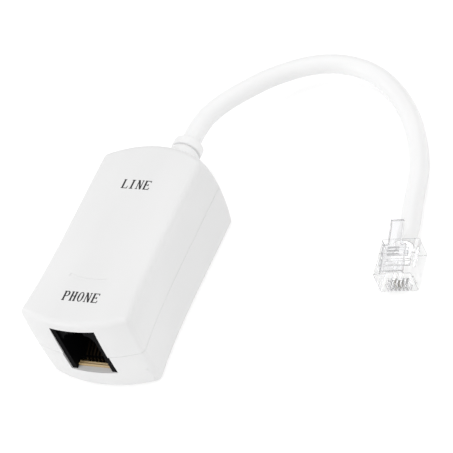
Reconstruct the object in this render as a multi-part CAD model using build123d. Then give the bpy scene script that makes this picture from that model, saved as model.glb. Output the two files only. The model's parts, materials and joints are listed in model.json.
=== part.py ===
from build123d import *
import math
import os

# In-line telephone line filter, in millimetres, +Z up.
# X is across the box, -Y is the phone socket end, +Y is the end that the line cord leaves.
# The origin is on the table under the middle of the box.

# Housing
LENGTH = 59.9
HEIGHT = 23.6
WALL = 1.8
SEAM_Z = 11.8
SEAM_GROOVE = 0.1
FRONT_RADIUS = 38.2
BACK_RADIUS = 28.2
FRONT_BULGE = 0.5
BACK_BULGE = 1.7
EDGE_FILLET = 1.65
BOTTOM_FILLET = 1.0
# Stations along the box, front to back: y, half width at the base, half width at the top
SIDE_CURVE = (
    (-31.5, 16.15, 16.35),
    (-26.0, 15.3, 15.55),
    (-13.5, 14.15, 14.5),
    (0.0, 13.85, 14.25),
    (24.2, 14.0, 14.25),
    (32.0, 13.95, 14.15),
)
LIP_HEIGHT = 1.3
LIP_THICKNESS = 0.8
GAP = 0.1
HOOK_YS = (-13.2, 0.2, 21.4)
HOOK_WIDTH = 3.0
HOOK_X = 10.4
POST_DIAMETER = 4.0
POST_POSITIONS = ((-8.6, -22.0), (8.6, -22.0), (-8.6, 20.5), (8.6, 20.5))

SINK_DEPTH = 0.08
SINK_WIDTH = 0.9

# Phone socket in the front end
OPENING_WIDTH = 12.7
OPENING_STEP = 0.3
OPENING_BOTTOM = 5.7
OPENING_TOP = 21.3
JACK_WIDTH = 12.5
JACK_FRONT = -29.1
JACK_BACK = -13.6
CAVITY_WIDTH = 9.9
CAVITY_DEPTH = 13.4
CAVITY_FLOOR = 7.2
CAVITY_CEILING = 16.9
SLOT_WIDTH = 4.4
LATCH_ROOM_WIDTH = 6.6
LATCH_ROOM_TOP = 20.4
KEEPER_DEPTH = 1.7
KEEPER_ROUND = 1.9
CONTACT_PITCH = 1.02
CONTACT_COUNT = 6
WIRE = 0.46
SILL_WIDTH = 12.0
COMB_FRONT = -28.15
COMB_DEPTH = 1.25
COMB_TOP = 6.35
COMB_RIB_RADIUS = 0.27
COMB_RIB_YS = (-27.82, -27.2)
FLOOR_FRONT = -26.3
TAIL_Y = -26.6
TAIL_TOP = 7.4
SPRING_PIVOT = (-26.3, 7.9)
SPRING_LENGTH = 9.4
SPRING_SLOPE = 21.0

# Circuit board and what is soldered on it
BOARD_WIDTH = 21.0
BOARD_FRONT = -25.2
BOARD_BACK = 23.4
BOARD_BOTTOM = 3.9
BOARD_THICKNESS = 1.6
BOARD_TOP = BOARD_BOTTOM + BOARD_THICKNESS
LEAD = 0.6
CHOKE_YS = (-6.2, 6.6)
CHOKE_X = -3.6
CHOKE_SIZE = (12.0, 10.4)
CHOKE_HEIGHT = 11.6

# Strain relief and cord
CORD_DIAMETER = 5.0
GROMMET_AXIS_Z = SEAM_Z
GROMMET_NECK = 6.6
RING_DIAMETER = 7.9
RING_WIDTH = 2.5
RING_PITCH = 3.0
RING_COUNT = 3
GROMMET_END = 38.6
FLANGE_DIAMETER = 9.6
FLANGE_BACK = 27.4
FLANGE_THICKNESS = 1.6
CONDUCTOR = 1.1
SHEATH_END_Y = 24.0
# Corners of the cord's route from the strain relief down to the table and round to the plug
CORD_ROUTE = (
    (0.0, GROMMET_END, GROMMET_AXIS_Z),
    (0.0, 44.9, 11.8),
    (1.6, 51.1, 11.4),
    (6.0, 58.2, 10.4),
    (13.2, 67.8, 8.1),
    (24.1, 74.4, 5.9),
    (36.6, 73.5, 4.1),
    (47.1, 65.8, 2.9),
    (54.7, 55.6, 2.55),
    (60.4, 43.35, 2.55),
    (62.3, 32.5, 2.55),
)

# Line plug, lying flat with its latch upward
PLUG_WIDTH = 9.65
PLUG_HEIGHT = 6.6
PLUG_LENGTH = 10.8
PLUG_CENTRE = (66.4, 12.45)
PLUG_YAW = 8.1
PLUG_ENTRY = 4.2
PLUG_AXIS_Z = 3.3
LATCH_WIDTH = 5.9
LATCH_TAB_WIDTH = 3.2
LATCH_THICKNESS = 0.9
LATCH_SLOPE = 15.0
LATCH_WIDE_LENGTH = 6.6
LATCH_LENGTH = 13.0
PLUG_SLOT = 0.56
PLUG_CONTACTS = (-0.5, 0.5)


def save(name, shape):
    shape.label = name
    export_step(shape, "parts/" + name + ".step")


def block(x, y, z):
    """A box given by its (low, high) pairs."""
    middle = Location((sum(x) / 2, sum(y) / 2, sum(z) / 2))
    return middle * Box(x[1] - x[0], y[1] - y[0], z[1] - z[0])


def rod(radius, start, end):
    """A round bar between two points."""
    a = Vector(*start)
    b = Vector(*end)
    plane = Plane(origin=a, z_dir=b - a)
    return extrude(plane * Circle(radius), (b - a).length)


def group(solids):
    return Compound(children=list(solids))


# ---------------------------------------------------------------- housing

def plan_face(z, inset, column):
    """The long sides of the box, straight across at both ends; column 1 is the base and 2 the top."""
    right = [(station[column] - inset, station[0]) for station in SIDE_CURVE]
    left = [(-x, y) for x, y in reversed(right)]
    outline = Spline(*right) + Line(right[-1], left[0]) + Spline(*left) + Line(left[-1], right[0])
    return Plane.XY.offset(z) * make_face(outline)


def end_tool(radius, bulge, apex_y, side, inset):
    """Keeps what lies inside one curved end: a barrel, and a slab over the rest of the box."""
    rim = radius - bulge - inset
    low = -1.0
    high = HEIGHT + 1.0
    centre_y = apex_y - side * radius
    arc = ThreePointArc((rim, 0, 0), (radius - inset, 0, HEIGHT / 2), (rim, 0, HEIGHT))
    edge = Polyline((rim, 0, HEIGHT), (rim, 0, high), (0, 0, high), (0, 0, low), (rim, 0, low), (rim, 0, 0))
    barrel = revolve(make_face(arc + edge), Axis.Z)
    slab = block((-50, 50), (-side * 90, 0) if side > 0 else (0, 90), (low, high))
    return Location((0, centre_y, 0)) * (barrel + slab)


def housing_body(inset):
    low = plan_face(inset, inset, 1)
    high = plan_face(HEIGHT - inset, inset, 2)
    body = loft([low, high])
    body &= end_tool(FRONT_RADIUS, FRONT_BULGE, -LENGTH / 2, -1, inset)
    body &= end_tool(BACK_RADIUS, BACK_BULGE, LENGTH / 2, 1, inset)
    return body


def rounded_housing():
    body = housing_body(0)
    upright = [edge for edge in body.edges() if edge.bounding_box().size.Z > HEIGHT * 0.8]
    body = fillet(upright + body.edges().group_by(Axis.Z)[-1], EDGE_FILLET)
    return fillet(body.edges().group_by(Axis.Z)[0], BOTTOM_FILLET)


def seam_belt(outer):
    """The fine groove that runs round the box where the shells meet."""
    core = housing_body(SEAM_GROOVE)
    upright = [edge for edge in core.edges() if edge.bounding_box().size.Z > HEIGHT * 0.8]
    core = fillet(upright, EDGE_FILLET - SEAM_GROOVE)
    return (outer - core) & half_space(SEAM_Z - SEAM_GROOVE / 2, SEAM_Z + SEAM_GROOVE / 2)


def half_space(low, high):
    return block((-40, 40), (-50, 50), (low, high))


def socket_opening(step):
    """The hole in the front end that the socket's cheeks come through."""
    half = OPENING_WIDTH / 2 + step
    return block((-half, half), (-40, -20), (OPENING_BOTTOM, OPENING_TOP))


def grommet_bore(extra):
    centre = (0, 20, GROMMET_AXIS_Z)
    hole = rod(GROMMET_NECK / 2 + extra, centre, (0, 40, GROMMET_AXIS_Z))
    pocket_y = (FLANGE_BACK - FLANGE_THICKNESS - extra, FLANGE_BACK + extra)
    pocket = rod(FLANGE_DIAMETER / 2 + extra, (0, pocket_y[0], GROMMET_AXIS_Z), (0, pocket_y[1], GROMMET_AXIS_Z))
    return hole + pocket


def back_blocks():
    """Ribs inside the back end that hold the grommet's flange from both sides."""
    front_y = FLANGE_BACK - FLANGE_THICKNESS - 1.6
    return block((-7, 7), (front_y, 32), (-1, HEIGHT + 1)) & housing_body(WALL - 0.2)


def wall_hook(side, y):
    """A snap hook on the lid's side wall that reaches below the seam."""
    x = side * HOOK_X
    span = (y - HOOK_WIDTH / 2, y + HOOK_WIDTH / 2)
    arm = block(sorted((x, x - side * 1.3)), span, (SEAM_Z - 3.4, HEIGHT - 1.2))
    barb = block(sorted((x, x + side * 0.55)), span, (SEAM_Z - 3.4, SEAM_Z - 2.2))
    return arm + barb


def wall_catch(side, y):
    """The ledge on the tray's side wall above the hook's barb."""
    inner = side * (HOOK_X + GAP)
    span = (y - HOOK_WIDTH / 2 - 0.6, y + HOOK_WIDTH / 2 + 0.6)
    return block(sorted((inner, side * 12.6)), span, (SEAM_Z - 2.1, SEAM_Z - 0.3))


def sink_mark():
    """The shallow crescent in the lid's top, over the socket."""
    arc = ThreePointArc((-6.2, -14.2), (-0.6, -15.4), (4.7, -15.0))
    slot = Plane.XY.offset(HEIGHT - SINK_DEPTH) * trace(arc, SINK_WIDTH)
    return extrude(slot, 1.0)


def shells():
    outer = rounded_housing()
    inner = housing_body(WALL)
    lip_outer = housing_body(WALL - LIP_THICKNESS)
    groove = housing_body(WALL - LIP_THICKNESS - GAP)
    tray = (outer - inner) & half_space(-1, SEAM_Z)
    tray += (lip_outer - inner) & half_space(SEAM_Z - 0.5, SEAM_Z + LIP_HEIGHT)
    tray += back_blocks() & half_space(-1, SEAM_Z)
    lid = (outer - inner) & half_space(SEAM_Z, HEIGHT + 1)
    lid -= groove & half_space(SEAM_Z - 1, SEAM_Z + LIP_HEIGHT + GAP)
    lid += back_blocks() & half_space(SEAM_Z + LIP_HEIGHT + GAP, HEIGHT + 1)
    for side in (-1, 1):
        for y in HOOK_YS:
            tray += wall_catch(side, y)
            lid += wall_hook(side, y)
    for x, y in POST_POSITIONS:
        tray += rod(POST_DIAMETER / 2, (x, y, WALL / 2), (x, y, BOARD_BOTTOM))
    tray += block((-SILL_WIDTH / 2, SILL_WIDTH / 2), (-32, COMB_FRONT - 0.05), (WALL / 2, OPENING_BOTTOM)) & lip_outer
    belt = seam_belt(outer)
    tray -= socket_opening(OPENING_STEP) + grommet_bore(0.05) + belt
    lid -= socket_opening(0) + grommet_bore(0.05) + belt + sink_mark()
    return tray, lid


# ---------------------------------------------------------------- phone socket

def jack_housing():
    half = JACK_WIDTH / 2
    cavity_half = CAVITY_WIDTH / 2
    cavity_back = JACK_FRONT + CAVITY_DEPTH
    shell = block((-half, half), (JACK_FRONT, JACK_BACK), (OPENING_BOTTOM + 0.1, OPENING_TOP - 0.1))
    shell -= block((-cavity_half, cavity_half), (JACK_FRONT - 1, cavity_back), (CAVITY_FLOOR, CAVITY_CEILING))
    # Latch room behind the keeper, and the narrow slot through it
    room_half = LATCH_ROOM_WIDTH / 2
    keeper_back = JACK_FRONT + 0.5 + KEEPER_DEPTH
    shell -= block((-room_half, room_half), (keeper_back, cavity_back), (CAVITY_CEILING - 1, LATCH_ROOM_TOP))
    slot = block((-SLOT_WIDTH / 2, SLOT_WIDTH / 2), (JACK_FRONT - 1, keeper_back + 1), (CAVITY_CEILING - 1, LATCH_ROOM_TOP))
    shell -= slot
    # The keeper's shoulders stand back from the cheeks, and round into the cavity
    shell -= block((-cavity_half, cavity_half), (JACK_FRONT - 1, JACK_FRONT + 0.5), (CAVITY_CEILING - 1, OPENING_TOP - 0.7))
    for side in (-1, 1):
        wedge = Plane.XZ.offset(-JACK_FRONT + 1) * Location((side * SLOT_WIDTH / 2, CAVITY_CEILING)) * Circle(KEEPER_ROUND)
        shell -= extrude(wedge, -KEEPER_DEPTH - 1.2)
    # Open floor between the cheeks at the front, where the tray's wall and the contact comb show
    shell -= block((-cavity_half, cavity_half), (JACK_FRONT - 1, FLOOR_FRONT), (0, CAVITY_CEILING))
    # Grooves for the contact tails in the floor
    for x in contact_xs():
        shell -= block((x - 0.32, x + 0.32), (COMB_FRONT, JACK_BACK + 1), (0, OPENING_BOTTOM + 0.9))
    return shell


def contact_xs():
    return [(i - (CONTACT_COUNT - 1) / 2) * CONTACT_PITCH for i in range(CONTACT_COUNT)]


def contact_comb():
    """The ribbed strip at the socket's mouth, in front of the contact wires."""
    half = CAVITY_WIDTH / 2 - 0.05
    rib_z = COMB_TOP - COMB_RIB_RADIUS
    comb = block((-half, half), (COMB_FRONT, COMB_FRONT + COMB_DEPTH), (OPENING_BOTTOM + 0.1, rib_z))
    for y in COMB_RIB_YS:
        comb += rod(COMB_RIB_RADIUS, (-half, y, rib_z), (half, y, rib_z))
    return comb


def wire_path(points):
    """A square wire swept along a bent path in the Y-Z plane."""
    path = Polyline(*[(0, y, z) for y, z in points])
    start = Plane(origin=path @ 0, z_dir=path % 0, x_dir=(1, 0, 0))
    return sweep(start * Rectangle(WIRE, WIRE), path=path, transition=Transition.RIGHT)


def contact_tails():
    """The fixed ends: from the board, under the socket and up behind the comb."""
    low = OPENING_BOTTOM + 0.42
    bend = ((JACK_BACK + 1.2, BOARD_BOTTOM - 0.6), (JACK_BACK + 1.2, low), (TAIL_Y, low), (TAIL_Y, TAIL_TOP))
    tail = wire_path(bend)
    return group(Location((x, 0, 0)) * tail for x in contact_xs())


def contact_springs():
    """The free ends that the plug's contacts press down."""
    y, z = SPRING_PIVOT
    slope = math.radians(SPRING_SLOPE)
    end = (y + SPRING_LENGTH * math.cos(slope), z + SPRING_LENGTH * math.sin(slope))
    tip = (end[0] + 0.9, end[1] - 0.5)
    spring = wire_path(((y, z), end, tip))
    return group(Location((x, 0, 0)) * spring for x in contact_xs())


# ---------------------------------------------------------------- circuit board

def lead_positions():
    """Board holes: x, y and the height that the lead reaches above the board."""
    choke = [(CHOKE_X + sx * 4.2, y + sy * 3.4, 1.3) for y in CHOKE_YS for sx in (-1, 1) for sy in (-1, 1)]
    film = [(6.6, y + sy * 2.5, 1.0) for y in (-7.5, 0.8) for sy in (-1, 1)]
    disc = [(6.6, 6.4, 3.0), (6.6, 11.4, 3.0)]
    resistors = [(x, y, 2.0) for y in (14.8, 17.4) for x in (-9.0, 1.6)]
    return choke + film + disc + resistors


def circuit_board():
    half = BOARD_WIDTH / 2
    board = block((-half, half), (BOARD_FRONT, BOARD_BACK), (BOARD_BOTTOM, BOARD_TOP))
    board = fillet(board.edges().filter_by(Axis.Z), 2.0)
    drill = LEAD / 2 + 0.1
    for x, y, _ in lead_positions():
        board -= rod(drill, (x, y, 0), (x, y, 10))
    for x in contact_xs():
        board -= rod(0.42, (x, JACK_BACK + 1.2, 0), (x, JACK_BACK + 1.2, 10))
    for x in (-2.2, 2.2):
        board -= rod(0.65, (x, 21.2, 0), (x, 21.2, 10))
    return board


def component_leads():
    return group(rod(LEAD / 2, (x, y, BOARD_BOTTOM - 0.9), (x, y, BOARD_TOP + up)) for x, y, up in lead_positions())


def solder_joints():
    spots = [(x, y) for x, y, _ in lead_positions()]
    cones = []
    for x, y in spots:
        cone = Location((x, y, BOARD_BOTTOM - 0.35)) * Cone(0.45, 0.85, 0.7)
        cones.append(cone - rod(LEAD / 2, (x, y, 0), (x, y, 10)))
    return group(cones)


def choke_parts(y):
    """A twin-winding choke: moulded base and bobbin, E-cores round it, and the copper winding."""
    width, depth = CHOKE_SIZE
    base_z = BOARD_TOP + 1.3
    top_z = BOARD_TOP + CHOKE_HEIGHT
    x0 = CHOKE_X
    base = block((x0 - width / 2, x0 + width / 2), (y - depth / 2, y + depth / 2), (BOARD_TOP, base_z))
    for x, ly, _ in lead_positions():
        base -= rod(LEAD / 2, (x, ly, 0), (x, ly, 20))
    mid_z = (base_z + top_z) / 2
    flanges = [block((x0 + s * 3.9 - 0.4, x0 + s * 3.9 + 0.4), (y - 4.4, y + 4.4), (base_z + 0.9, top_z - 1.1))
               for s in (-1, 1)]
    barrel = rod(2.3, (x0 - 4.0, y, mid_z), (x0 + 4.0, y, mid_z))
    bobbin = base + block((x0 - 4.3, x0 + 4.3), (y - 1.2, y + 1.2), (base_z - 0.5, base_z + 1.2))
    for flange in flanges:
        bobbin += flange
    bobbin += barrel
    bobbin -= rod(1.55, (x0 - 9, y, mid_z), (x0 + 9, y, mid_z))
    winding = rod(3.5, (x0 - 3.45, y, mid_z), (x0 + 3.45, y, mid_z)) - rod(2.35, (x0 - 5, y, mid_z), (x0 + 5, y, mid_z))
    core = rod(1.5, (x0 - 5.9, y, mid_z), (x0 + 5.9, y, mid_z))
    for s in (-1, 1):
        core += block(sorted((x0 + s * 4.4, x0 + s * 5.9)), (y - 4.4, y + 4.4), (base_z + 0.05, top_z))
    core += block((x0 - 5.9, x0 + 5.9), (y - 4.4, y + 4.4), (top_z - 1.0, top_z))
    return bobbin, winding, core


def film_capacitor(y):
    body = block((4.4, 8.8), (y - 3.7, y + 3.7), (BOARD_TOP + 0.05, BOARD_TOP + 9.0))
    body = fillet(body.edges().filter_by(Axis.Z) + body.faces().sort_by(Axis.Z)[-1].edges(), 0.5)
    for x, ly, _ in lead_positions():
        body -= rod(LEAD / 2, (x, ly, 0), (x, ly, BOARD_TOP + 1.0))
    return body


def ceramic_capacitor():
    disc = rod(3.7, (5.5, 8.9, BOARD_TOP + 5.6), (7.7, 8.9, BOARD_TOP + 5.6))
    disc = fillet(disc.edges().filter_by(GeomType.CIRCLE), 0.8)
    for x, y, up in lead_positions():
        disc -= rod(LEAD / 2, (x, y, 0), (x, y, BOARD_TOP + up))
    return disc


def resistor(y):
    z = BOARD_TOP + 1.7
    body = rod(1.15, (-6.9, y, z), (-0.5, y, z))
    body += rod(1.3, (-7.1, y, z), (-5.6, y, z)) + rod(1.3, (-1.8, y, z), (-0.3, y, z))
    body = fillet(body.edges().filter_by(GeomType.CIRCLE).sort_by(Axis.X)[0::5], 0.4)
    legs = rod(LEAD / 2, (-8.7, y, z), (-7.1, y, z)) + rod(LEAD / 2, (-0.3, y, z), (1.3, y, z))
    return body + legs


# ---------------------------------------------------------------- strain relief and cord

def cable_grommet():
    axis = GROMMET_AXIS_Z
    flange_front = FLANGE_BACK - FLANGE_THICKNESS
    body = rod(FLANGE_DIAMETER / 2, (0, flange_front, axis), (0, FLANGE_BACK, axis))
    body += rod(GROMMET_NECK / 2, (0, flange_front, axis), (0, GROMMET_END, axis))
    for i in range(RING_COUNT):
        end = GROMMET_END - i * RING_PITCH
        ring = rod(RING_DIAMETER / 2, (0, end - RING_WIDTH, axis), (0, end, axis))
        body += fillet(ring.edges().filter_by(GeomType.CIRCLE), 0.35)
    bore_front = flange_front - 0.5
    return body - rod(CORD_DIAMETER / 2 + 0.02, (0, bore_front, axis), (0, GROMMET_END + 1, axis))


def plug_place():
    return Location((PLUG_CENTRE[0], PLUG_CENTRE[1], 0), (0, 0, PLUG_YAW))


def plug_point(x, y, z):
    """A point given in the plug's own frame (nose toward -Y)."""
    place = plug_place() * Location((x, y, z))
    return (place.position.X, place.position.Y, place.position.Z)


def cord_points():
    """The route: hand-chosen corners, then the straight run up to the plug."""
    rear = PLUG_LENGTH / 2
    return list(CORD_ROUTE) + [plug_point(0, rear + 7.0, PLUG_AXIS_Z), plug_point(0, rear, PLUG_AXIS_Z)]


def corner_radius(a, b, c):
    first = Vector(*b) - Vector(*a)
    second = Vector(*c) - Vector(*b)
    turn = math.radians(first.get_angle(second))
    return 0.45 * min(first.length, second.length) / math.tan(turn / 2)


def cord():
    points = cord_points()
    radii = [corner_radius(*points[i - 1:i + 2]) for i in range(1, len(points) - 1)]
    print("cord corner radii", [round(r, 1) for r in radii])
    path = FilletPolyline(*points, radius=radii)
    print("cord length", round(path.length, 1))
    return sweep(Plane(origin=path @ 0, z_dir=path % 0) * Circle(CORD_DIAMETER / 2), path=path)


def cord_sheath_inner():
    """The cord's end held in the strain relief."""
    return rod(CORD_DIAMETER / 2, (0, SHEATH_END_Y, GROMMET_AXIS_Z), (0, GROMMET_END, GROMMET_AXIS_Z))


def plug_cord_end():
    """The cord's end crimped in the plug, in the plug's own frame."""
    rear = PLUG_LENGTH / 2
    return rod(CORD_DIAMETER / 2, (0, rear - PLUG_ENTRY, PLUG_AXIS_Z), (0, rear, PLUG_AXIS_Z))


def conductor(side):
    """One insulated core from the cord's end to its hole in the board."""
    start = (side * 0.6, SHEATH_END_Y, GROMMET_AXIS_Z)
    path = Spline(start, (side * 1.5, 21.4, 9.2), (side * 2.2, 21.2, BOARD_TOP - 1.0),
                  tangents=((0, -1, 0), (0, 0, -1)))
    return sweep(Plane(origin=path @ 0, z_dir=path % 0) * Circle(CONDUCTOR / 2), path=path)


# ---------------------------------------------------------------- line plug, in its own frame

def latch_root():
    return (0, -PLUG_LENGTH / 2 + 0.9, PLUG_HEIGHT + 0.12)


def plug_body():
    half = PLUG_WIDTH / 2
    rear = PLUG_LENGTH / 2
    body = block((-half, half), (-rear, rear), (0, PLUG_HEIGHT))
    body = fillet(body.edges().filter_by(Axis.Y), 0.35)
    # Cable pocket from the rear, and the flat wire channel ahead of it
    body -= rod(CORD_DIAMETER / 2 + 0.02, (0, rear - PLUG_ENTRY, PLUG_AXIS_Z), (0, rear + 1, PLUG_AXIS_Z))
    for x in PLUG_CONTACTS:
        body -= rod(0.5, (x * 1.4, -rear + 1.2, PLUG_AXIS_Z), (x * 1.4, rear - PLUG_ENTRY + 0.1, PLUG_AXIS_Z))
    # Ridge that the latch springs from
    body += block((-LATCH_WIDTH / 2, LATCH_WIDTH / 2), (-rear, -rear + 0.3), (PLUG_HEIGHT - 0.2, PLUG_HEIGHT + 0.8))
    # Contact slots, open at the nose and the underside
    for x in contact_xs():
        body -= block((x - PLUG_SLOT / 2, x + PLUG_SLOT / 2), (-rear - 1, -rear + 2.4), (-1, 2.6))
    # Strain relief window from above, behind the latch root
    body -= block((-2.6, 2.6), (0.8, 2.6), (PLUG_HEIGHT - 1.1, PLUG_HEIGHT + 1))
    body -= block((-half + 0.9, half - 0.9), (-2.6, -0.9), (PLUG_HEIGHT - 0.8, PLUG_HEIGHT + 1))
    return body


def plug_latch():
    """The spring latch: a wide part with two shoulders, then the narrow thumb tab."""
    _, y, z = latch_root()
    slope = math.radians(LATCH_SLOPE)
    wide = block((-LATCH_WIDTH / 2, LATCH_WIDTH / 2), (0, LATCH_WIDE_LENGTH), (0, LATCH_THICKNESS))
    tab = block((-LATCH_TAB_WIDTH / 2, LATCH_TAB_WIDTH / 2), (0, LATCH_LENGTH), (0, LATCH_THICKNESS))
    nose = rod(LATCH_THICKNESS / 2, (-LATCH_WIDTH / 2, 0, LATCH_THICKNESS / 2), (LATCH_WIDTH / 2, 0, LATCH_THICKNESS / 2))
    latch = wide + tab + nose
    for step in (3.6, 4.5, 5.4):
        latch -= block((-1.4, 1.4), (step, step + 0.35), (LATCH_THICKNESS - 0.25, 2))
    tilt = Location((0, y, z), (math.degrees(slope), 0, 0))
    return tilt * latch


def plug_contacts():
    rear = PLUG_LENGTH / 2
    blades = []
    for x in PLUG_CONTACTS:
        blade = block((x - 0.22, x + 0.22), (-rear + 0.35, -rear + 2.3), (0.55, 2.55))
        blades.append(blade)
    return group(blades)


def plug_conductors():
    rear = PLUG_LENGTH / 2
    return group(rod(0.45, (x * 1.4, -rear + 1.3, PLUG_AXIS_Z), (x * 1.4, rear - PLUG_ENTRY, PLUG_AXIS_Z))
                 for x in PLUG_CONTACTS)


# ---------------------------------------------------------------- build

def main():
    tray, lid = shells()
    save("bottom_shell", tray)
    save("top_shell", lid)
    save("jack_housing", jack_housing())
    save("jack_contact_comb", contact_comb())
    save("jack_contact_tails", contact_tails())
    save("jack_contact_springs", contact_springs())
    save("circuit_board", circuit_board())
    save("component_leads", component_leads())
    save("solder_joints", solder_joints())
    for number, y in enumerate(CHOKE_YS, 1):
        bobbin, winding, core = choke_parts(y)
        save("choke_%d_bobbin" % number, bobbin)
        save("choke_%d_winding" % number, winding)
        save("choke_%d_core" % number, core)
    save("film_capacitor_1", film_capacitor(-7.5))
    save("film_capacitor_2", film_capacitor(0.8))
    save("ceramic_capacitor", ceramic_capacitor())
    save("resistor_1", resistor(14.8))
    save("resistor_2", resistor(17.4))
    save("cable_grommet", cable_grommet())
    save("cord_sheath_inner", cord_sheath_inner())
    save("line_cord", cord())
    save("conductor_red", conductor(-1))
    save("conductor_green", conductor(1))
    place = plug_place()
    save("plug_body", place * plug_body())
    save("plug_cord_end", place * plug_cord_end())
    save("plug_latch", place * plug_latch())
    save("plug_contacts", place * plug_contacts())
    save("plug_conductors", place * plug_conductors())
    print("latch root", [round(v, 3) for v in plug_point(*latch_root())])


main()
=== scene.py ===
import json
import math

import bmesh
import bpy
from mathutils import Matrix, Vector


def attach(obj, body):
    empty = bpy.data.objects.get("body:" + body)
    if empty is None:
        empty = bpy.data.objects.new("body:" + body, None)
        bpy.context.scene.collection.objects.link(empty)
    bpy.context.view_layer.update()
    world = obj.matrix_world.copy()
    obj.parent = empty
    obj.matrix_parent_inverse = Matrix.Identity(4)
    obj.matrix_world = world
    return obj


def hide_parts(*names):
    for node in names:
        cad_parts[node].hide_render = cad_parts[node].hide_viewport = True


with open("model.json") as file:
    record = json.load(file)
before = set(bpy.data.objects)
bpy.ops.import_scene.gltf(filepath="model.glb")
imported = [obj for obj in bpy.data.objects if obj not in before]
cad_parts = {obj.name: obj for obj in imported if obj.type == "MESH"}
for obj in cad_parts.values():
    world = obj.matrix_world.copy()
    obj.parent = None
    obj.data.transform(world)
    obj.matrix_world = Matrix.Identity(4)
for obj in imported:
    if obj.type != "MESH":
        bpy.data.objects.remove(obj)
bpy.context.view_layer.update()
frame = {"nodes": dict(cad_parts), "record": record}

# The looks of an in-line telephone line filter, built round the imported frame.
# Lengths named _MM are in millimetres, and everything put in the scene is in metres.
MM = 0.001
NODES = frame["nodes"]

# Camera: where it looks, from how far, and its angles in degrees
CAMERA_AIM_MM = (12.894, 22.609, 0.0)
CAMERA_DISTANCE_MM = 749.0
CAMERA_AZIMUTH = 42.481
CAMERA_ELEVATION = 43.306
CAMERA_ROLL = -27.729
CAMERA_LENS = 236.89
CAMERA_SENSOR = 36.0

# Cord
CORD_RADIUS_MM = 2.5
PLUG_CENTRE_MM = (66.4, 12.45)
PLUG_YAW = 8.1
PLUG_HALF_LENGTH_MM = 5.4
PLUG_AXIS_Z_MM = 3.3
CORD_LEAD_MM = 7.0
CORD_ROUTE_MM = (
    (0.0, 38.6, 11.8),
    (0.0, 44.9, 11.8),
    (1.6, 51.1, 11.4),
    (6.0, 58.2, 10.4),
    (13.2, 67.8, 8.1),
    (24.1, 74.4, 5.9),
    (36.6, 73.5, 4.1),
    (47.1, 65.8, 2.9),
    (54.7, 55.6, 2.55),
    (60.4, 43.35, 2.55),
    (62.3, 32.5, 2.55),
)

TOP_Z_MM = 23.6


def metres(point):
    return Vector(point) * MM


# ---------------------------------------------------------------- camera

def make_camera():
    azimuth = math.radians(CAMERA_AZIMUTH)
    elevation = math.radians(CAMERA_ELEVATION)
    back = Vector((math.sin(azimuth) * math.cos(elevation),
                   -math.cos(azimuth) * math.cos(elevation),
                   math.sin(elevation)))
    camera = bpy.data.objects.new("camera", bpy.data.cameras.new("camera"))
    bpy.context.scene.collection.objects.link(camera)
    camera.data.lens = CAMERA_LENS
    camera.data.sensor_width = CAMERA_SENSOR
    camera.data.clip_start = 0.05
    camera.data.clip_end = 20.0
    level = (-back).to_track_quat("-Z", "Y").to_matrix().to_4x4()
    place = Matrix.Translation(metres(CAMERA_AIM_MM) + back * CAMERA_DISTANCE_MM * MM)
    camera.matrix_world = place @ level @ Matrix.Rotation(math.radians(CAMERA_ROLL), 4, "Z")
    bpy.context.scene.camera = camera


# ---------------------------------------------------------------- materials

SHADER = "Principled BSDF"
# Where the noise and ramp values start and end their run
RAMP_LOW = 0.3
RAMP_HIGH = 0.7
# Cosine of the angle between a rounded normal and the true one: on a flat face, and at a sharp edge
FACE_COSINE = 0.998
EDGE_COSINE = 0.9
PLUG_EDGE_MM = 0.26
# Transmission left at a sharp edge of the clear plastic, so that its painted grey edge shade shows
EDGE_SHADE_TRANSMISSION = 0.2
FINE_GRAIN = (1.0, 0.1, 0.1)


def new_material(name, colour, roughness, metallic=0.0):
    material = bpy.data.materials.new(name)
    material.use_nodes = True
    shader = material.node_tree.nodes[SHADER]
    shader.inputs["Base Color"].default_value = (*colour, 1.0)
    shader.inputs["Roughness"].default_value = roughness
    shader.inputs["Metallic"].default_value = metallic
    material.diffuse_color = (*colour, 1.0)
    return material, material.node_tree, shader


def object_noise(tree, scale, detail=3.0, stretch=(1.0, 1.0, 1.0)):
    """A noise texture in the object's own space; scale is in features per metre."""
    place = tree.nodes.new("ShaderNodeTexCoord")
    mapping = tree.nodes.new("ShaderNodeMapping")
    mapping.inputs["Scale"].default_value = stretch
    noise = tree.nodes.new("ShaderNodeTexNoise")
    noise.inputs["Scale"].default_value = scale
    noise.inputs["Detail"].default_value = detail
    tree.links.new(place.outputs["Object"], mapping.inputs["Vector"])
    tree.links.new(mapping.outputs["Vector"], noise.inputs["Vector"])
    return noise.outputs["Fac"]


def colour_variation(tree, shader, source, low, high):
    ramp = tree.nodes.new("ShaderNodeValToRGB")
    ramp.color_ramp.elements[0].position = RAMP_LOW
    ramp.color_ramp.elements[0].color = (*low, 1.0)
    ramp.color_ramp.elements[1].position = RAMP_HIGH
    ramp.color_ramp.elements[1].color = (*high, 1.0)
    tree.links.new(source, ramp.inputs["Fac"])
    tree.links.new(ramp.outputs["Color"], shader.inputs["Base Color"])


def roughness_variation(tree, shader, source, low, high):
    spread = tree.nodes.new("ShaderNodeMapRange")
    spread.inputs["From Min"].default_value = RAMP_LOW
    spread.inputs["From Max"].default_value = RAMP_HIGH
    spread.inputs["To Min"].default_value = low
    spread.inputs["To Max"].default_value = high
    tree.links.new(source, spread.inputs["Value"])
    tree.links.new(spread.outputs["Result"], shader.inputs["Roughness"])


def bump(tree, shader, source, strength, height_mm):
    node = tree.nodes.new("ShaderNodeBump")
    node.inputs["Strength"].default_value = strength
    node.inputs["Distance"].default_value = height_mm * MM
    tree.links.new(source, node.inputs["Height"])
    tree.links.new(node.outputs["Normal"], shader.inputs["Normal"])


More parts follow.
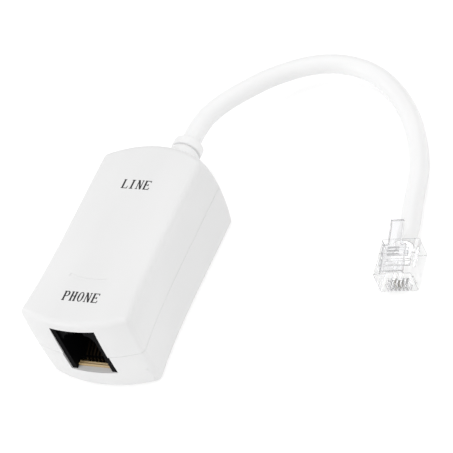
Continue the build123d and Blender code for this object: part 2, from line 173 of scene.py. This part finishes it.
def moulded(name, colour, roughness, grain=2500.0, grain_height_mm=0.006, spread=0.02):
    """Moulded plastic: fine spark-eroded grain, slight flow marks and uneven gloss."""
    material, tree, shader = new_material(name, colour, roughness)
    flow = object_noise(tree, 60.0, 2.0, (1.0, 0.35, 1.0))
    low = tuple(max(0.0, c - spread) for c in colour)
    high = tuple(min(1.0, c + spread) for c in colour)
    colour_variation(tree, shader, flow, low, high)
    fine = object_noise(tree, grain, 2.0)
    roughness_variation(tree, shader, fine, roughness - 0.04, roughness + 0.06)
    bump(tree, shader, fine, 0.25, grain_height_mm)
    return material


def vinyl(name, colour):
    material = moulded(name, colour, 0.42, grain=1400.0, grain_height_mm=0.004, spread=0.012)
    shader = material.node_tree.nodes[SHADER]
    shader.inputs["Subsurface Weight"].default_value = 0.08
    shader.inputs["Subsurface Radius"].default_value = (0.0012, 0.0011, 0.001)
    return material


def metal(name, colour, roughness, stretch=(1.0, 1.0, 1.0)):
    material, tree, shader = new_material(name, colour, roughness, 1.0)
    grain = object_noise(tree, 1800.0, 3.0, stretch)
    colour_variation(tree, shader, grain, tuple(c * 0.86 for c in colour), colour)
    roughness_variation(tree, shader, grain, roughness - 0.05, roughness + 0.1)
    return material


def edge_mask(tree, radius_mm):
    """Runs from 0 on a flat face to 1 at a sharp edge."""
    rounded = tree.nodes.new("ShaderNodeBevel")
    rounded.samples = 8
    rounded.inputs["Radius"].default_value = radius_mm * MM
    surface = tree.nodes.new("ShaderNodeNewGeometry")
    lean = tree.nodes.new("ShaderNodeVectorMath")
    lean.operation = "DOT_PRODUCT"
    spread = tree.nodes.new("ShaderNodeMapRange")
    spread.inputs["From Min"].default_value = FACE_COSINE
    spread.inputs["From Max"].default_value = EDGE_COSINE
    tree.links.new(rounded.outputs["Normal"], lean.inputs[0])
    tree.links.new(surface.outputs["Normal"], lean.inputs[1])
    tree.links.new(lean.outputs["Value"], spread.inputs["Value"])
    return spread.outputs["Result"]


def clear_plastic(name, face, edge, ior, transmission):
    """Clear plastic with painted shade along its edges: a grey colour and less transmission there stand in for
    the dark lines that refraction draws.
    """
    material, tree, shader = new_material(name, face, 0.04)
    shader.inputs["IOR"].default_value = ior
    ripple = object_noise(tree, 500.0, 2.0)
    roughness_variation(tree, shader, ripple, 0.02, 0.07)
    bump(tree, shader, ripple, 0.15, 0.01)
    # Painted shade: towards the edges the colour turns grey and less light goes through
    edge_shade_mask = edge_mask(tree, PLUG_EDGE_MM)
    colour_variation(tree, shader, edge_shade_mask, face, edge)
    painted_edge_shade = tree.nodes.new("ShaderNodeMapRange")
    painted_edge_shade.inputs["To Min"].default_value = transmission
    painted_edge_shade.inputs["To Max"].default_value = EDGE_SHADE_TRANSMISSION
    tree.links.new(edge_shade_mask, painted_edge_shade.inputs["Value"])
    tree.links.new(painted_edge_shade.outputs["Result"], shader.inputs["Transmission Weight"])
    return material


def paint_nodes():
    """Gives every carried-over CAD node its material, by its slot unless the node is named."""
    white = moulded("white_abs", (0.74, 0.74, 0.74), 0.42)
    black = moulded("black_plastic", (0.003, 0.003, 0.0035), 0.45, grain=1500.0, spread=0.002)
    black.node_tree.nodes[SHADER].inputs["Specular IOR Level"].default_value = 0.02
    soft_white = vinyl("white_vinyl", (0.82, 0.82, 0.82))
    clear = clear_plastic("clear_plastic", (1.0, 1.0, 1.0), (0.35, 0.35, 0.36), 1.14, 1.0)
    # Painted shade: the latch is coloured a little grey and lets less light through, standing in for the grey
    # that refraction gives its thumb tab
    painted_shade_latch = clear_plastic("clear_latch_painted_shade", (0.9, 0.9, 0.91), (0.35, 0.35, 0.36), 1.1, 0.82)
    # Painted glow: the vinyl inside the clear plug gives off a little light of its own, standing in for the
    # light that reaches it through the clear plastic from all sides
    painted_glow_vinyl = vinyl("white_vinyl_painted_glow", (0.82, 0.82, 0.82))
    painted_glow_shader = painted_glow_vinyl.node_tree.nodes[SHADER]
    painted_glow_shader.inputs["Emission Color"].default_value = (1.0, 1.0, 1.0, 1.0)
    painted_glow_shader.inputs["Emission Strength"].default_value = 0.4
    # Painted shade: the contact springs and tails are coloured nearly black instead of gold, standing in for
    # the shade inside the jack
    painted_shade_gold = metal("gold_wire_painted_shade", (0.03, 0.02, 0.012), 0.5, FINE_GRAIN)
    comb = moulded("contact_comb", (0.55, 0.4, 0.2), 0.2, spread=0.05)
    contacts = metal("plug_contact_gold", (0.5, 0.48, 0.44), 0.3, FINE_GRAIN)
    amber = moulded("amber_board", (0.62, 0.4, 0.14), 0.38, spread=0.05)
    tin = metal("tinned_wire", (0.76, 0.76, 0.78), 0.3)
    copper = metal("copper_enamel", (0.75, 0.3, 0.12), 0.25, (0.2, 3.0, 3.0))
    ferrite = moulded("ferrite", (0.04, 0.04, 0.045), 0.6, grain=1200.0, spread=0.015)
    red_film = moulded("film_red", (0.42, 0.05, 0.03), 0.22, spread=0.03)
    tan = moulded("ceramic_tan", (0.7, 0.38, 0.1), 0.35, spread=0.05)
    beige = moulded("resistor_body", (0.68, 0.5, 0.28), 0.35, spread=0.04)
    red = moulded("core_red", (0.62, 0.03, 0.02), 0.3, spread=0.03)
    green = moulded("core_green", (0.02, 0.3, 0.06), 0.3, spread=0.02)
    by_slot = {
        "white_abs": white, "black_plastic": black, "white_vinyl": soft_white, "clear_plastic": clear,
        "gold_wire": contacts, "amber_board": amber, "tinned_wire": tin, "solder": tin,
        "copper_enamel": copper, "ferrite": ferrite, "film_red": red_film, "ceramic_tan": tan,
        "resistor_body": beige, "core_red": red, "core_green": green, "core_white": painted_glow_vinyl,
    }
    by_node = {
        "plug_latch": painted_shade_latch, "jack_contact_springs": painted_shade_gold, "jack_contact_tails": painted_shade_gold,
        "jack_contact_comb": comb, "plug_cord_end": painted_glow_vinyl,
    }
    for part in frame["record"]["subparts"]:
        node = NODES[part["node"]]
        node.data.materials.clear()
        node.data.materials.append(by_node.get(part["node"], by_slot[part["material_slot"]]))
    return by_slot


# ---------------------------------------------------------------- cord

def plug_matrix():
    turn = Matrix.Rotation(math.radians(PLUG_YAW), 4, "Z")
    return Matrix.Translation(metres((*PLUG_CENTRE_MM, 0.0))) @ turn


def make_cord(material):
    """The cord's jacket, along the same corners as the CAD route."""
    place = plug_matrix()
    points = [metres(point) for point in CORD_ROUTE_MM]
    for back in (CORD_LEAD_MM, 0.0):
        points.append(place @ metres((0.0, PLUG_HALF_LENGTH_MM + back, PLUG_AXIS_Z_MM)))
    curve = bpy.data.curves.new("line_cord_jacket", "CURVE")
    curve.dimensions = "3D"
    curve.resolution_u = 24
    curve.bevel_depth = CORD_RADIUS_MM * MM
    curve.bevel_resolution = 10
    curve.use_fill_caps = True
    spline = curve.splines.new("NURBS")
    spline.points.add(len(points) - 1)
    for control, point in zip(spline.points, points):
        control.co = (*point, 1.0)
    spline.order_u = 3
    spline.use_endpoint_u = True
    curve.materials.append(material)
    cord = bpy.data.objects.new("line_cord_jacket", curve)
    bpy.context.scene.collection.objects.link(cord)
    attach(cord, "root")
    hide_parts("line_cord")


# ---------------------------------------------------------------- printed port labels

INK_HEIGHT_MM = 0.03
CAP_HEIGHT_MM = 2.85
LETTER_PITCH_MM = 2.05
LETTER_WIDTH = 0.58
STEM = 0.165
HAIR = 0.075
SERIF = 0.07


def bar(x0, y0, x1, y1, width):
    """The four corners of a straight stroke, in units of the cap height."""
    along = Vector((x1 - x0, y1 - y0)).normalized()
    side = Vector((-along.y, along.x)) * width / 2
    start = Vector((x0, y0))
    end = Vector((x1, y1))
    return [start + side, start - side, end - side, end + side]


def serif(x, y, half):
    return bar(x - half, y, x + half, y, SERIF)


def bowl(centre, radii, start, end, thick, thin, steps=20):
    """Quads of a round stroke that is thick at its sides and thin above and below."""
    quads = []
    ring = []
    for i in range(steps + 1):
        angle = math.radians(start + (end - start) * i / steps)
        width = thin + (thick - thin) * abs(math.cos(angle)) ** 2
        outward = Vector((math.cos(angle), math.sin(angle)))
        outer = Vector((centre[0] + radii[0] * outward.x, centre[1] + radii[1] * outward.y))
        inner = Vector((centre[0] + (radii[0] - width) * outward.x, centre[1] + (radii[1] - width) * outward.y))
        ring.append((inner, outer))
    for (a, b), (c, d) in zip(ring, ring[1:]):
        quads.append([a, c, d, b])
    return quads


def letter_strokes(letter):
    w = LETTER_WIDTH
    low = SERIF / 2
    high = 1.0 - SERIF / 2
    stem_x = 0.14
    if letter == "L":
        return [bar(stem_x, 0, stem_x, 1, STEM), serif(stem_x, high, 0.13), bar(0.02, low, w, low, SERIF),
                bar(w - 0.02, 0.0, w + 0.04, 0.28, HAIR)]
    if letter == "I":
        return [bar(w / 2, 0, w / 2, 1, STEM), serif(w / 2, high, 0.17), serif(w / 2, low, 0.17)]
    if letter == "N":
        return [bar(0.11, 0, 0.11, 1, HAIR), bar(w - 0.07, 0, w - 0.07, 1, HAIR),
                bar(0.11, 1.0, w - 0.07, 0.0, STEM), serif(0.11, low, 0.1), serif(w - 0.07, high, 0.1),
                serif(0.06, high, 0.07)]
    if letter == "E":
        return [bar(stem_x, 0, stem_x, 1, STEM), bar(0.02, high, w, high, SERIF), bar(0.02, low, w, low, SERIF),
                bar(stem_x, 0.52, w - 0.14, 0.52, HAIR), bar(w - 0.14, 0.42, w - 0.14, 0.62, HAIR),
                bar(w, 1.0, w + 0.02, 0.8, HAIR), bar(w - 0.01, 0.0, w + 0.05, 0.24, HAIR)]
    if letter == "P":
        return [bar(stem_x, 0, stem_x, 1, STEM), serif(stem_x - 0.05, high, 0.08), serif(stem_x, low, 0.13),
                bar(stem_x, high, 0.32, high, HAIR), bar(stem_x, 0.47, 0.32, 0.47, HAIR),
                *bowl((0.32, 0.735), (w - 0.3, 0.285), -90, 90, STEM, HAIR)]
    if letter == "H":
        right = w - 0.09
        return [bar(stem_x, 0, stem_x, 1, STEM), bar(right, 0, right, 1, STEM), serif(stem_x, high, 0.12),
                serif(stem_x, low, 0.12), serif(right, high, 0.12), serif(right, low, 0.12),
                bar(stem_x, 0.52, right, 0.52, HAIR)]
    return bowl((w / 2 + 0.02, 0.5), (w / 2, 0.515), 0, 360, STEM, HAIR, 40)


def make_label(name, word, left_mm, baseline_mm, material):
    """A pad-printed word on the lid, as a thin layer of ink."""
    mesh = bmesh.new()
    for index, letter in enumerate(word):
        for stroke in letter_strokes(letter):
            corners = []
            for corner in stroke:
                x = left_mm + index * LETTER_PITCH_MM + corner.x * CAP_HEIGHT_MM
                y = baseline_mm + corner.y * CAP_HEIGHT_MM
                corners.append(mesh.verts.new(metres((x, y, TOP_Z_MM + 0.002))))
            mesh.faces.new(corners)
    bmesh.ops.recalc_face_normals(mesh, faces=mesh.faces)
    risen = bmesh.ops.extrude_face_region(mesh, geom=mesh.faces[:])
    lifted = [item for item in risen["geom"] if isinstance(item, bmesh.types.BMVert)]
    bmesh.ops.translate(mesh, verts=lifted, vec=(0, 0, INK_HEIGHT_MM * MM))
    bmesh.ops.recalc_face_normals(mesh, faces=mesh.faces)
    data = bpy.data.meshes.new(name)
    mesh.to_mesh(data)
    mesh.free()
    data.materials.append(material)
    label = bpy.data.objects.new(name, data)
    bpy.context.scene.collection.objects.link(label)
    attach(label, "root")


def make_labels():
    ink = moulded("printing_ink", (0.02, 0.02, 0.022), 0.5, grain=3000.0, spread=0.008)
    make_label("label_line", "LINE", -4.35, 13.65, ink)
    make_label("label_phone", "PHONE", -5.15, -22.1, ink)


# ---------------------------------------------------------------- stage and light

FLOOR_HALF_WIDTH = 4.0
FLOOR_Z = -0.0002


def make_floor():
    half = FLOOR_HALF_WIDTH
    mesh = bmesh.new()
    corners = ((-half, -half), (half, -half), (half, half), (-half, half))
    mesh.faces.new([mesh.verts.new((x, y, FLOOR_Z)) for x, y in corners])
    data = bpy.data.meshes.new("floor")
    mesh.to_mesh(data)
    mesh.free()
    floor = bpy.data.objects.new("floor", data)
    bpy.context.scene.collection.objects.link(floor)
    material, tree, shader = new_material("pale_floor", (0.6, 0.6, 0.6), 0.9)
    shader.inputs["Emission Color"].default_value = (1.0, 1.0, 1.0, 1.0)
    shader.inputs["Emission Strength"].default_value = 0.43
    data.materials.append(material)


# Soft round lights, all aimed at the object: name, position and diameter in metres, power in watts
SOFT_LIGHTS = (
    ("left_front", (-0.5, -0.55, 0.45), 0.5, 2.19),
    ("camera_side", (0.42, -0.5, 0.62), 0.35, 1.0),
    ("overhead", (0.05, 0.05, 0.9), 0.6, 1.75),
    ("left", (-0.75, 0.1, 0.45), 0.5, 1.06),
    ("right_back", (0.6, 0.4, 0.6), 0.5, 1.39),
    ("back", (0.0, 0.7, 0.6), 0.5, 0.94),
    ("front_low", (0.0, -0.85, 0.2), 0.4, 0.39),
    ("right", (0.85, -0.1, 0.4), 0.5, 0.46),
)


def area_light(name, position, size, power):
    light = bpy.data.lights.new(name, "AREA")
    light.shape = "DISK"
    light.size = size
    light.energy = power
    item = bpy.data.objects.new(name, light)
    bpy.context.scene.collection.objects.link(item)
    item.location = position
    item.rotation_euler = (Vector((0.0, 0.0, 0.01)) - Vector(position)).to_track_quat("-Z", "Y").to_euler()


def make_light():
    world = bpy.data.worlds.new("studio")
    world.use_nodes = True
    background = world.node_tree.nodes["Background"]
    background.inputs["Color"].default_value = (1.0, 1.0, 1.0, 1.0)
    background.inputs["Strength"].default_value = 0.5
    bpy.context.scene.world = world
    for name, position, size, power in SOFT_LIGHTS:
        area_light(name, position, size, power)
    bpy.context.scene.view_settings.view_transform = "Standard"


make_camera()
SLOTS = paint_nodes()
make_cord(SLOTS["white_vinyl"])
make_labels()
make_floor()
make_light()
